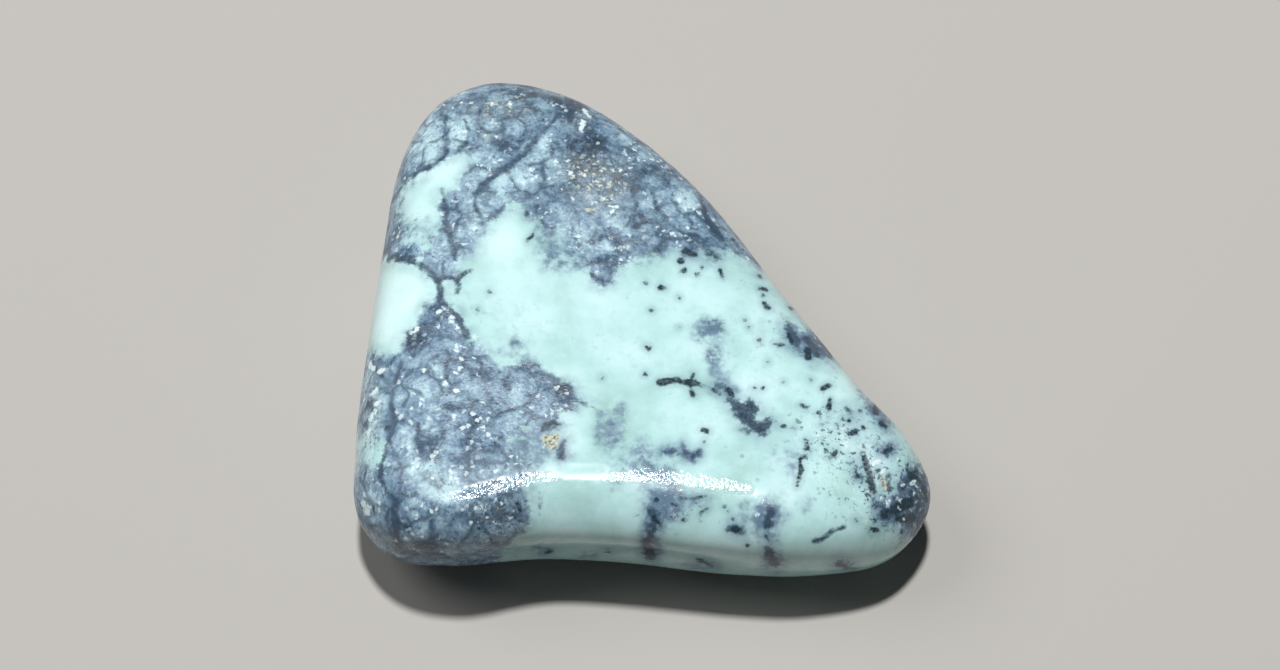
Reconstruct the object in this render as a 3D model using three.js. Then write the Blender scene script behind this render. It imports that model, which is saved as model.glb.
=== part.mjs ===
// A tumbled serpentine pebble: one solid stone, worn to a rounded triangle with a hollow front edge.
// Millimetres. X runs to the right, Y away from the viewer and Z up from the level the pebble rests on.
// The origin is at that level, under the middle of the pebble's box.
import * as THREE from "three";

// The outline at the pebble's widest level, seen from above, anticlockwise from the tip of the nose.
const OUTLINE = [
  [14.9, -10.3],
  [14.0, -7.4],
  [11.8, -4.7],
  [7.8, 1.4],
  [3.6, 7.5],
  [-1.8, 12.6],
  [-4.9, 14.2],
  [-8.1, 14.5],
  [-10.8, 13.1],
  [-12.5, 9.8],
  [-13.4, 4.0],
  [-14.0, -2.8],
  [-14.2, -8.0],
  [-13.9, -11.2],
  [-12.2, -13.2],
  [-9.2, -13.6],
  [-5.2, -13.3],
  [-0.6, -13.55],
  [4.7, -14.15],
  [9.0, -14.15],
  [12.8, -13.3],
];
// The point that the sections fan out from: the middle of the outline's area.
const HUB = [-2.0, -2.1];

// Heights, measured from the level the pebble rests on.
const EQUATOR_Z = 3.5;
const CROWN_RISE = 3.95;
const BELLY_DROP = 3.58;
// The crown is highest over the front left heel and sinks towards the nose and the far end.
const CROWN_SLOPE = [0.04, 0.03];
// What the tumbler wore off the belly's lowest point, which leaves a small flat to rest on.
const FLAT_WORN = 0.1;

// Each section is a superellipse: the higher the exponent, the flatter the face and the tighter the rim.
const CROWN_SPREAD = 7.0;
const BELLY_SPREAD = 4.0;
const RIM_ROUNDING = 2.0;
const SPREAD_PER_REACH = 0.2;
const USUAL_REACH = 11;

// Hollows (depth above 0) and swellings (below 0), each a soft ellipsoid of influence with its three radii.
const WEAR = [
  { name: "front lip", at: [-2.5, -11.4, 7.4], radii: [7.5, 1.7, 1.8], depth: -0.35 },
  { name: "front brow", at: [-1.6, -14.0, 6.0], radii: [7.6, 1.8, 1.6], depth: -0.62 },
  { name: "front hollow", at: [0.0, -13.6, 3.6], radii: [7.4, 3.0, 2.0], depth: 0.5 },
  { name: "front foot", at: [-0.4, -12.8, 1.2], radii: [7.0, 2.4, 1.4], depth: -0.25 },
  { name: "heel swelling", at: [-9.6, -11.8, 6.8], radii: [4.0, 2.4, 2.8], depth: -0.3 },
  { name: "heel lip", at: [-9.2, -13.6, 6.4], radii: [3.4, 1.5, 1.8], depth: -0.65 },
  { name: "nose lip", at: [8.6, -13.4, 6.0], radii: [4.4, 2.0, 2.2], depth: -0.3 },
  { name: "far slope", at: [-6.5, 10.5, 7.0], radii: [6.0, 4.5, 3.0], depth: 0.3 },
  { name: "long edge flat", at: [7.5, 3.0, 6.2], radii: [6.0, 6.0, 2.4], depth: 0.25 },
  { name: "left shoulder flat", at: [-13.2, 2.0, 5.6], radii: [2.6, 6.0, 2.6], depth: 0.2 },
  { name: "dish on top", at: [0.5, 0.5, 7.7], radii: [4.4, 3.6, 2.5], depth: 0.12 },
  { name: "rise behind the dish", at: [-4.8, 4.6, 7.6], radii: [3.6, 3.4, 2.5], depth: -0.1 },
  { name: "nose taper", at: [12.6, -9.0, 6.4], radii: [3.6, 4.2, 3.0], depth: 0.25 },
  { name: "belly hollow right", at: [6.5, -5.5, 0.4], radii: [4.2, 4.8, 2.0], depth: 0.2 },
  { name: "belly hollow far", at: [-6.0, 6.6, 0.4], radii: [4.6, 3.6, 2.0], depth: 0.24 },
  { name: "belly facet left", at: [-12.0, -4.0, 1.2], radii: [2.8, 5.5, 2.2], depth: 0.3 },
  { name: "pit", at: [-4.15, -8.85, 7.6], radii: [0.75, 0.75, 1.0], depth: 0.2 },
];

// The grid: a softened square patch bent over each face, and a belt of rows round the rim between them.
const PATCH_CELLS = 32;
const PATCH_SHARE = 0.62;
const PATCH_SOFTNESS = 0.25;
const BELT_ROWS = 20;
const SECTION_STEPS = 96;
const OUTLINE_STEPS = 1200;

// The stone's plain finish: pale green and waxy.
const STONE = { color: 0x9fc4b8, roughness: 0.3, metalness: 0 };

const outline = new THREE.CatmullRomCurve3(
  OUTLINE.map(([x, y]) => new THREE.Vector3(x, y, 0)),
  true,
  "centripetal",
);
outline.arcLengthDivisions = OUTLINE_STEPS;
const hub = new THREE.Vector3(HUB[0], HUB[1], 0);

// How far the crown stands above the widest level at a place, or the belly hangs below it.
function halfHeight(side, { x, y }) {
  if (side < 0) return BELLY_DROP;
  return CROWN_RISE - CROWN_SLOPE[0] * (x - hub.x) - CROWN_SLOPE[1] * (y - hub.y);
}

// One half of a section, from the hub out to a rim point: its points, and how far along it each one lies.
function section(rim, side) {
  const reach = rim.distanceTo(hub);
  const spread = (side > 0 ? CROWN_SPREAD : BELLY_SPREAD) + SPREAD_PER_REACH * (reach - USUAL_REACH);
  const points = [];
  const lengths = [0];
  for (let i = 0; i <= SECTION_STEPS; i += 1) {
    const turn = ((i / SECTION_STEPS) * Math.PI) / 2;
    const out = Math.sin(turn) ** (2 / spread);
    const up = Math.cos(turn) ** (2 / RIM_ROUNDING);
    const point = new THREE.Vector3().lerpVectors(hub, rim, out);
    point.z = EQUATOR_Z + side * halfHeight(side, point) * up;
    points.push(point);
    if (i > 0) lengths.push(lengths[i - 1] + point.distanceTo(points[i - 1]));
  }
  return { points, lengths };
}

// The point of a section that lies at a share of its length, from 0 at the hub to 1 at the rim.
function along({ points, lengths }, share) {
  const wanted = share * lengths[SECTION_STEPS];
  let i = 1;
  while (i < SECTION_STEPS && lengths[i] < wanted) i += 1;
  const part = (wanted - lengths[i - 1]) / (lengths[i] - lengths[i - 1]);
  return new THREE.Vector3().lerpVectors(points[i - 1], points[i], part);
}

// The rim point at an angle round the patch, where a full turn is the outline's whole length.
function rimAt(angle) {
  const turns = angle / (2 * Math.PI);
  return outline.getPointAt(turns - Math.floor(turns));
}

// A corner of a patch's cells, as an angle round the hub and a share of the way to the rim.
function patchPlace(i, j) {
  const evenly = (k) => Math.SQRT2 * Math.sin((Math.PI / 4) * ((2 * k) / PATCH_CELLS - 1));
  const a = evenly(i);
  const b = evenly(j);
  const x = a * Math.sqrt(1 - PATCH_SOFTNESS * b * b);
  const y = b * Math.sqrt(1 - PATCH_SOFTNESS * a * a);
  return { angle: Math.atan2(y, x), share: PATCH_SHARE * Math.hypot(x, y) };
}

// The cell corners on a patch's edge, anticlockwise from the corner (0, 0).
function patchEdge() {
  const last = PATCH_CELLS;
  const edge = [];
  for (let k = 0; k < last; k += 1) edge.push([k, 0]);
  for (let k = 0; k < last; k += 1) edge.push([last, k]);
  for (let k = last; k > 0; k -= 1) edge.push([k, last]);
  for (let k = last; k > 0; k -= 1) edge.push([0, k]);
  return edge;
}

function pebbleGeometry() {
  const vertices = [];
  const triangles = [];
  const add = (point) => vertices.push(point) - 1;
  const gap = (a, b) => vertices[a].distanceTo(vertices[b]);
  // Splits a cell along its shorter diagonal.
  const quad = (a, b, c, d) => {
    if (gap(a, c) <= gap(b, d)) triangles.push(a, b, c, a, c, d);
    else triangles.push(b, c, d, b, d, a);
  };

  const patches = [1, -1].map((side) => {
    const ids = [];
    for (let i = 0; i <= PATCH_CELLS; i += 1) {
      ids.push([]);
      for (let j = 0; j <= PATCH_CELLS; j += 1) {
        const { angle, share } = patchPlace(i, j);
        ids[i].push(add(along(section(rimAt(angle), side), share)));
      }
    }
    for (let i = 0; i < PATCH_CELLS; i += 1) {
      for (let j = 0; j < PATCH_CELLS; j += 1) {
        const corners = [ids[i][j], ids[i + 1][j], ids[i + 1][j + 1], ids[i][j + 1]];
        quad(...(side > 0 ? corners : corners.reverse()));
      }
    }
    return ids;
  });

  const edge = patchEdge();
  const rows = [edge.map(([i, j]) => patches[0][i][j])];
  for (let row = 1; row < BELT_ROWS; row += 1) {
    const side = 2 * row <= BELT_ROWS ? 1 : -1;
    const outward = (2 * Math.min(row, BELT_ROWS - row)) / BELT_ROWS;
    const belt = edge.map(([i, j]) => {
      const { angle, share } = patchPlace(i, j);
      return add(along(section(rimAt(angle), side), share + (1 - share) * outward));
    });
    rows.push(belt);
  }
  rows.push(edge.map(([i, j]) => patches[1][i][j]));
  for (let row = 0; row < BELT_ROWS; row += 1) {
    edge.forEach((_, k) => {
      const next = (k + 1) % edge.length;
      quad(rows[row + 1][k], rows[row + 1][next], rows[row][next], rows[row][k]);
    });
  }

  const geometry = new THREE.BufferGeometry().setFromPoints(vertices);
  geometry.setIndex(triangles);
  return geometry;
}

// Moves each point in or out along its normal by the wear that reaches it.
function wearDown(geometry) {
  geometry.computeVertexNormals();
  const { position, normal } = geometry.attributes;
  const point = new THREE.Vector3();
  const outward = new THREE.Vector3();
  for (let v = 0; v < position.count; v += 1) {
    point.fromBufferAttribute(position, v);
    outward.fromBufferAttribute(normal, v);
    const depth = WEAR.reduce((sum, { at, radii, depth: full }) => {
      const x = (point.x - at[0]) / radii[0];
      const y = (point.y - at[1]) / radii[1];
      const z = (point.z - at[2]) / radii[2];
      return sum + full * Math.exp(-(x * x + y * y + z * z));
    }, 0);
    point.addScaledVector(outward, -depth);
    position.setXYZ(v, point.x, point.y, point.z);
  }
}

// Wears the belly flat where it is lowest and puts the origin under the middle of the box.
function settle(geometry) {
  const { position } = geometry.attributes;
  geometry.computeBoundingBox();
  const { min, max } = geometry.boundingBox;
  const floor = min.z + FLAT_WORN;
  for (let v = 0; v < position.count; v += 1) position.setZ(v, Math.max(position.getZ(v), floor));
  geometry.translate(-(min.x + max.x) / 2, -(min.y + max.y) / 2, -floor);
}

function makePebble() {
  const geometry = pebbleGeometry();
  wearDown(geometry);
  settle(geometry);
  geometry.computeVertexNormals();
  const pebble = new THREE.Mesh(geometry, new THREE.MeshStandardMaterial(STONE));
  pebble.name = "serpentine_pebble";
  return pebble;
}

const part = new THREE.Group();
part.name = "serpentine_rock";
part.add(makePebble());

export default part;
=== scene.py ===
"""A tumbled serpentine pebble: pale mint green with slate-blue veined patches, waxy from the tumbler.

The marks are placed by the pixel of the 1280 x 670 photograph where each one is seen. A ray from the camera
puts it on the stone, and from there on it is a shape in the stone, so that it looks right from any side.
"""

import math

import bmesh
import bpy
import numpy as np
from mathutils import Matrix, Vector, noise
from mathutils.bvhtree import BVHTree


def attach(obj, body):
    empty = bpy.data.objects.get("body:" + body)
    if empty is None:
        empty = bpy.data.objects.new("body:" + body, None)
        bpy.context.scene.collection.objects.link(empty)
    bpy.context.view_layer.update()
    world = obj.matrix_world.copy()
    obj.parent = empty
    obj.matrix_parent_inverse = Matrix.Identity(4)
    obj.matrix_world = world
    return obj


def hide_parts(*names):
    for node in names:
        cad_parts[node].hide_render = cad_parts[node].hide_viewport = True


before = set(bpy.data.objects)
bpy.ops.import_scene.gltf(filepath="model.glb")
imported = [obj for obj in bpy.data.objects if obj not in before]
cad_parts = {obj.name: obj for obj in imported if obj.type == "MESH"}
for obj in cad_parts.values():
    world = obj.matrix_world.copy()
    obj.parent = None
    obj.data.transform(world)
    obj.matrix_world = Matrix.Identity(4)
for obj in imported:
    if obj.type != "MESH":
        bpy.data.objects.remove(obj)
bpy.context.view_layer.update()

MM = 0.001
NODE = "serpentine_pebble"

# The photograph's camera, round a point inside the stone.
PHOTO_WIDTH = 1280
PHOTO_HEIGHT = 670
ELEVATION = math.radians(60)
LENS = 90.0
SENSOR = 36.0
DISTANCE = 165.16 * MM
TARGET = Vector((-0.144, -0.789, 3.5)) * MM
PIXELS_PER_MM = LENS / SENSOR * PHOTO_WIDTH * MM / DISTANCE

# The slate-blue patches, as outlines in the photograph. They run past the stone's edge where they cover it.
SLATE_PATCHES = {
    "far end": [
        (340, 262), (383, 259), (400, 259), (414, 261), (424, 268), (433, 278), (447, 279), (460, 274),
        (462, 262), (468, 252), (478, 246), (481, 236), (488, 228), (489, 219), (498, 213), (512, 207),
        (522, 209), (529, 216), (539, 213), (543, 222), (552, 228), (562, 236), (574, 240), (582, 252),
        (590, 266), (594, 280), (603, 284), (612, 280), (614, 271), (624, 264), (640, 260), (652, 254),
        (663, 255), (671, 247), (682, 247), (692, 255), (700, 248), (716, 248), (733, 249), (760, 270),
        (800, 240), (700, 60), (400, 60), (330, 200),
    ],
    "heel": [
        (440, 296), (450, 306), (460, 319), (466, 333), (471, 343), (481, 348), (489, 355), (498, 366),
        (512, 362), (528, 362), (545, 369), (557, 378), (568, 386), (577, 399), (572, 409), (556, 416),
        (543, 424), (524, 430), (512, 441), (514, 458), (521, 476), (527, 492), (531, 508), (529, 524),
        (516, 538), (502, 556), (494, 590), (360, 620), (320, 560), (325, 352), (364, 352), (384, 357),
        (396, 351), (406, 338), (418, 322), (428, 306),
    ],
    "nose": [
        (903, 461), (913, 464), (922, 470), (945, 478), (955, 545), (925, 548), (913, 538), (906, 530),
        (896, 521), (880, 518), (886, 509), (894, 502), (901, 494), (906, 483), (901, 473),
    ],
    "long edge": [
        (786, 324), (796, 322), (806, 332), (818, 326), (840, 350), (834, 362), (812, 360), (803, 354),
        (795, 347), (787, 338),
    ],
    "lower long edge": [
        (858, 372), (870, 378), (900, 415), (892, 428), (880, 428), (872, 417), (864, 398),
    ],
}

# Windows of mint inside the slate.
MINT_WINDOWS = {
    "far end": [
        (403, 192), (410, 182), (424, 173), (438, 166), (446, 157), (458, 150), (472, 153), (477, 161),
        (469, 172), (458, 183), (447, 189), (440, 199), (438, 214), (440, 232), (434, 244), (416, 244),
        (402, 238), (396, 222), (398, 206),
    ],
    "left edge": [
        (340, 434), (368, 432), (382, 436), (387, 444), (384, 457), (376, 466), (340, 474),
    ],
    "golden pit": [(528, 428), (545, 424), (570, 424), (575, 450), (550, 466), (524, 470), (516, 450)],
}

# Marks as chains of (pixel x, pixel y, radius in pixels). One link is a round spot.
VEINS = [
    # The dark line under the far end, from the left edge, and its branch
    [(376, 264, 3), (390, 258, 3), (404, 259, 3), (415, 262, 3.5), (425, 268, 3.5), (433, 276, 4),
     (439, 284, 4), (441, 296, 3)],
    [(437, 279, 3), (448, 277, 2.5), (458, 279, 2.5), (464, 273, 2), (471, 270, 1)],
    [(458, 279, 2), (459, 288, 2.5), (456, 295, 1.5)],
    # The diagonal vein across the far end
    [(556, 118, 2), (547, 128, 3), (536, 139, 3.6), (526, 151, 3.2), (514, 162, 2.8), (503, 171, 3),
     (492, 177, 3), (482, 185, 2.6), (475, 195, 2.2), (475, 207, 2.2), (482, 216, 2.6), (490, 220, 2)],
    # Thin arcs round the cells of the far end
    [(446, 118, 2), (445, 130, 1.5), (448, 143, 1.5), (446, 155, 1.5), (436, 163, 1.5), (424, 170, 1.5)],
    [(464, 119, 1.5), (469, 131, 1.5), (467, 143, 1.5), (459, 150, 1.5)],
    [(391, 205, 2), (397, 194, 2.5), (404, 184, 1.5), (413, 177, 2), (420, 170, 1)],
    [(443, 190, 2), (444, 203, 2.5), (446, 217, 3), (449, 232, 3), (452, 246, 3), (455, 258, 2.5)],
    [(653, 190, 2), (656, 206, 2), (668, 222, 2), (684, 232, 2), (699, 236, 2)],
    [(690, 180, 2), (699, 193, 2), (704, 208, 3), (708, 222, 3), (722, 238, 3)],
    [(634, 226, 2), (647, 220, 2), (661, 226, 2), (664, 240, 2), (655, 250, 2)],
    [(594, 244, 2), (604, 234, 2), (618, 240, 2), (620, 252, 2)],
    [(480, 110, 1.5), (478, 124, 1.5), (486, 133, 1.5), (500, 130, 1.5)],
    [(566, 98, 3), (572, 110, 5), (570, 122, 3)],
    # The rim of the heel's patch and the lines inside it
    [(440, 300, 3), (450, 308, 2.5), (459, 319, 3), (465, 332, 3), (471, 344, 2.5)],
    [(402, 362, 1.5), (397, 376, 2.5), (393, 390, 3), (391, 404, 3), (394, 418, 2.6), (392, 431, 2.5),
     (387, 445, 2), (383, 460, 2.5), (380, 478, 2.5), (386, 490, 2), (394, 502, 3), (396, 522, 3.5),
     (398, 548, 3), (402, 566, 3)],
    [(418, 424, 2.5), (417, 440, 2.5), (423, 453, 2)],
    [(497, 416, 1), (508, 410, 1.5), (522, 406, 1.5), (532, 401, 1.5), (541, 396, 1)],
    [(522, 415, 1), (533, 411, 1.5)], [(447, 362, 2), (446, 378, 2)], [(432, 520, 3), (433, 548, 4)],
    # A thin line in the front mint and a crack beside the nose
    [(540, 493, 1), (540, 515, 1.4)],
    [(814, 541, 1.6), (822, 539, 1.3), (830, 533, 1.6), (837, 529, 1.2), (844, 527, 2.2)],
    # The pencil line that carries the heel's tip on
    [(577, 400, 1.2), (588, 405, 0.8), (602, 411, 0.6)],
]

# Dark spots, and painted shade round the golden pit, as chains like the veins.
SPOTS = [
    # The branched dark mark in the middle and what trails from it
    [(660, 382, 4), (668, 381, 3.2), (676, 379, 2.8), (684, 382, 3.4), (693, 382, 3.2), (704, 386, 1.6)],
    [(693, 374, 1.8), (693, 384, 3), (691, 390, 2.2), (694, 395, 2.6)],
    [(705, 386, 1), (714, 390, 1.4), (722, 395, 1.2)], [(732, 396, 3.4), (728, 388, 2)],
    # The row of greenish spots under the far end
    [(681, 261, 3.6)], [(684, 270, 3.6)], [(702, 267, 1.8)], [(697, 273, 1.6)],
    [(720, 270, 2.2), (722, 276, 2)], [(686, 250, 4), (695, 254, 3)], [(733, 240, 2.5)], [(743, 250, 2)],
    [(661, 287, 3.2), (665, 288, 1.6)], [(646, 283, 2)], [(679, 297, 1.8)], [(651, 310, 1.8)],
    [(648, 348, 3), (645, 346, 1.6)], [(645, 374, 2.4)], [(602, 378, 1.6)], [(679, 327, 1.2)],
    # Spots down the long edge
    [(764, 303, 2), (768, 308, 2.6)], [(760, 288, 2), (766, 289, 2.4)], [(763, 295, 1.6)],
    [(760, 276, 2.4)], [(791, 308, 2.4), (796, 310, 2)],
    [(779, 345, 2.6), (784, 344, 1.5), (774, 344, 1.2)], [(759, 340, 2.2)], [(745, 320, 1.6)],
    [(748, 327, 1.4)], [(768, 362, 1.4)], [(755, 388, 1.4)], [(763, 388, 2.4)], [(784, 382, 1.4)],
    [(808, 350, 4), (809, 357, 3.4)], [(788, 333, 2), (792, 342, 2)],
    [(818, 338, 3), (825, 347, 4), (831, 355, 2)], [(811, 380, 1.8)], [(823, 388, 3), (829, 385, 2.4)],
    [(830, 400, 2.6), (829, 408, 4)], [(801, 405, 2), (807, 409, 1.2)], [(817, 413, 1.4)],
    [(785, 427, 2), (780, 427, 1.2)], [(794, 428, 2.4)], [(708, 431, 2.8), (703, 430, 1.8)],
    [(704, 441, 1.4)], [(842, 419, 2)], [(849, 421, 2.4)], [(855, 432, 3.4), (849, 434, 1.8)],
    [(863, 428, 2.6)], [(860, 411, 1.8)], [(874, 406, 2.4), (876, 414, 3)],
    [(880, 424, 2.8), (886, 427, 2)], [(828, 418, 1.2)], [(822, 425, 1.8)], [(837, 426, 1.6)],
    [(829, 459, 1.8), (837, 451, 1.4)], [(806, 440, 1.8), (807, 449, 2.2)],
    [(802, 458, 1.6), (806, 456, 1.4)],
    [(800, 459, 1.6), (801, 470, 3.2), (799, 478, 2), (797, 486, 1.2)],
    [(854, 466, 1), (857, 476, 2.6), (862, 479, 1.2)], [(890, 450, 3), (884, 453, 2)],
    # The nose's grooves and the patches beside it
    [(863, 453, 2.4), (866, 465, 3.4), (871, 478, 3.6), (875, 487, 2.2)], [(879, 470, 3)],
    [(889, 474, 2.8), (889, 490, 2.8)], [(874, 496, 1.2), (876, 508, 1.4)],
    [(872, 529, 3), (878, 531, 2.4)], [(902, 531, 2.6)], [(884, 512, 3.4), (892, 510, 3)],
    [(868, 480, 2), (874, 492, 2.6)], [(856, 520, 2.6)], [(906, 470, 2), (914, 478, 5)],
    [(898, 508, 5), (910, 502, 6)], [(912, 518, 5), (898, 519, 3)], [(924, 488, 3), (927, 500, 3)],
    # Dots of the front edge
    [(724, 507, 1.6)], [(728, 511, 1.4)], [(733, 519, 1.8)], [(735, 530, 3.4), (739, 528, 2)],
    [(748, 545, 2.4)], [(765, 534, 1.4), (770, 545, 1.2)],
    [(680, 498, 1.4), (690, 499, 1.4), (706, 496, 1.6)], [(672, 504, 1.6), (678, 505, 1.6)],
    [(700, 513, 1.2), (707, 509, 2)], [(683, 519, 1.8)], [(656, 500, 2.4)], [(889, 515, 1.6)],
    [(788, 515, 1.2)], [(654, 518, 3), (660, 524, 2.4)],
    # Dark grains in the far end and the heel, and painted shade round the golden pit
    [(527, 214, 3)], [(537, 206, 2.4)], [(527, 241, 1.2), (533, 235, 1.4), (538, 226, 1.2)],
    [(489, 292, 1.6)], [(478, 309, 2)], [(530, 464, 2), (527, 468, 1.4)],
    # Painted shade of the golden pit: its lower right, then its far rim
    [(565, 450, 1.6), (560, 457, 1.6)],
    [(541, 431, 1.5), (546, 425, 2), (553, 422, 2.2), (560, 425, 1.6)], [(487, 516, 2.4)],
    [(479, 528, 2)], [(372, 506, 2), (373, 514, 2)], [(518, 503, 2.4), (521, 512, 2)], [(473, 513, 2)],
    [(493, 509, 1.8)], [(466, 520, 1.6)], [(500, 520, 1.8)],
    # Dark grains of the nose
    [(884, 517, 2.4), (890, 516, 2)], [(893, 508, 2.6)], [(902, 501, 2.8), (905, 507, 2.4)],
    [(897, 513, 2)], [(911, 492, 2.4)], [(906, 483, 2), (903, 489, 1.6)],
    [(917, 470, 2.6), (912, 474, 2)], [(908, 465, 2.2)], [(900, 470, 1.6)], [(921, 482, 2.2)],
    [(918, 497, 2.2)], [(895, 497, 1.8)], [(889, 484, 1.4), (892, 490, 1.4)], [(875, 520, 1.6)],
    [(882, 508, 1.6)], [(913, 527, 2)], [(893, 528, 1.8)], [(922, 512, 2.2)],
]

# Slate-blue blots in the mint, and painted shade round the golden pit, as chains like the veins.
BLOTS = [
    # The two blobs below the branched mark, and what joins them to it
    [(731, 400, 4), (736, 406, 6.5), (745, 409, 8), (752, 407, 6), (756, 412, 4)],
    [(741, 414, 7), (747, 420, 6), (753, 425, 6), (762, 428, 7.5), (769, 424, 4.5), (761, 435, 3)],
    [(742, 428, 2), (748, 430, 3)], [(726, 390, 3), (731, 397, 3)], [(716, 386, 3), (724, 392, 2.5)],
    # The cluster above the bright streak
    [(664, 453, 1.5), (673, 450, 2.4), (681, 455, 1.5)], [(684, 446, 1.5), (686, 453, 2)],
    [(693, 457, 1.5), (698, 453, 2)],
    # Under the far end
    [(711, 255, 5), (716, 257, 3)],
    # The patches on the long edge
    [(789, 326, 3.5), (793, 335, 4.5), (797, 343, 4)], [(806, 338, 4), (812, 346, 5), (817, 354, 4)],
    [(826, 348, 4), (830, 356, 3)], [(868, 398, 4), (875, 410, 4.5)], [(882, 423, 4), (888, 428, 3)],
    # Beside the nose's grooves
    [(855, 466, 2), (858, 476, 4)], [(886, 453, 3.5), (893, 447, 3)],
    [(882, 516, 3.5), (893, 511, 5), (902, 503, 5)], [(903, 486, 4), (910, 478, 4)],
    [(847, 409, 2.5), (851, 414, 2)],
    # Under the bright streak
    [(651, 512, 4), (655, 526, 5), (650, 536, 3)], [(770, 510, 3.5), (768, 526, 5)],
    [(733, 528, 4), (741, 531, 3)], [(647, 540, 4), (651, 556, 5)], [(768, 548, 4), (775, 564, 5)],
    [(608, 552, 2.5)], [(700, 560, 3), (712, 566, 2.5)], [(838, 562, 3), (850, 566, 3)], [(548, 552, 3)],
    # Painted shade on the golden pit's far rim and lower right, a blot beside it, and blots in the window
    # at the left edge
    [(543, 430, 3), (549, 428, 3.5), (556, 430, 2)], [(564, 444, 3), (561, 453, 5)], [(541, 452, 2)],
    [(376, 370, 3), (384, 378, 2.5)], [(388, 392, 3)], [(368, 404, 3), (377, 412, 2.5)], [(386, 428, 2)],
    [(365, 424, 2)], [(374, 390, 2)],
]

# Soft blue-grey clouds in the mint, some of them painted shade: (pixel x, pixel y, half width, half height,
# strength).
CLOUDS = [
    (612, 432, 13, 20, 0.8), (640, 450, 12, 18, 0.6), (628, 468, 26, 14, 0.4), (655, 476, 22, 12, 0.5),
    (710, 327, 14, 11, 0.95), (702, 336, 10, 8, 0.5), (714, 358, 8, 15, 0.85), (722, 376, 8, 8, 0.7),
    (716, 392, 16, 6, 0.35), (735, 390, 8, 8, 0.5), (768, 515, 16, 22, 0.85), (745, 512, 10, 14, 0.45),
    (765, 534, 16, 8, 0.6), (806, 508, 9, 14, 0.35), (617, 484, 10, 6, 0.4), (657, 470, 20, 10, 0.4),
    (515, 343, 5, 10, 0.6), (525, 357, 8, 5, 0.45), (570, 240, 26, 22, 0.5), (550, 262, 18, 14, 0.35),
    (652, 262, 14, 8, 0.4), (794, 468, 8, 18, 0.35), (858, 476, 7, 6, 0.6), (885, 450, 12, 8, 0.3),
    (892, 480, 12, 20, 0.25), (770, 330, 14, 26, 0.15), (850, 430, 26, 18, 0.2), (530, 450, 24, 20, 0.75),
    (480, 300, 20, 16, 0.12), (730, 345, 26, 30, 0.18), (404, 236, 20, 18, 0.35), (676, 504, 30, 14, 0.4),
    (812, 345, 14, 14, 0.5), (870, 395, 12, 22, 0.4), (602, 344, 16, 10, 0.1), (780, 288, 14, 10, 0.3),
    # The purple-grey cluster above the bright streak and the clouded patch below it
    (672, 451, 12, 7, 0.9), (683, 446, 6, 7, 0.8), (689, 457, 9, 6, 0.8), (699, 453, 5, 5, 0.8),
    (660, 496, 18, 12, 0.85), (690, 500, 20, 9, 0.8), (654, 520, 12, 18, 0.95), (672, 512, 16, 12, 0.6),
    (655, 540, 10, 10, 0.5), (706, 500, 8, 6, 0.5),
    # Painted shade round the golden pit, then clouds down the left edge and in the half-mint tongue under
    # the far end
    (562, 450, 6, 9, 0.85), (548, 424, 10, 6, 0.8), (538, 432, 7, 9, 0.6), (570, 458, 10, 7, 0.35),
    (362, 380, 8, 24, 0.5), (360, 440, 7, 30, 0.45), (376, 400, 12, 22, 0.5), (374, 438, 12, 16, 0.4),
    (568, 428, 10, 14, 0.35), (366, 470, 10, 14, 0.6), (566, 250, 24, 14, 0.7), (548, 230, 12, 14, 0.7),
    (582, 262, 12, 12, 0.6), (412, 232, 16, 14, 0.55), (398, 214, 8, 22, 0.5), (430, 226, 8, 14, 0.35),
    (520, 345, 16, 8, 0.3), (500, 352, 14, 10, 0.35), (585, 400, 12, 8, 0.3), (600, 412, 8, 5, 0.25),
    (600, 432, 8, 22, 0.4), (622, 412, 8, 16, 0.4), (820, 440, 30, 24, 0.15), (872, 440, 18, 16, 0.2),
    (900, 450, 10, 14, 0.1), (880, 505, 16, 22, 0.45), (520, 470, 16, 16, 0.6), (530, 440, 16, 20, 0.6),
    (712, 329, 10, 8, 0.8), (775, 455, 26, 18, 0.25), (650, 550, 12, 16, 0.8), (772, 560, 14, 12, 0.8),
    (590, 556, 16, 6, 0.5), (704, 566, 22, 6, 0.5), (845, 565, 16, 8, 0.6), (540, 548, 12, 8, 0.6),
]
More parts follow.
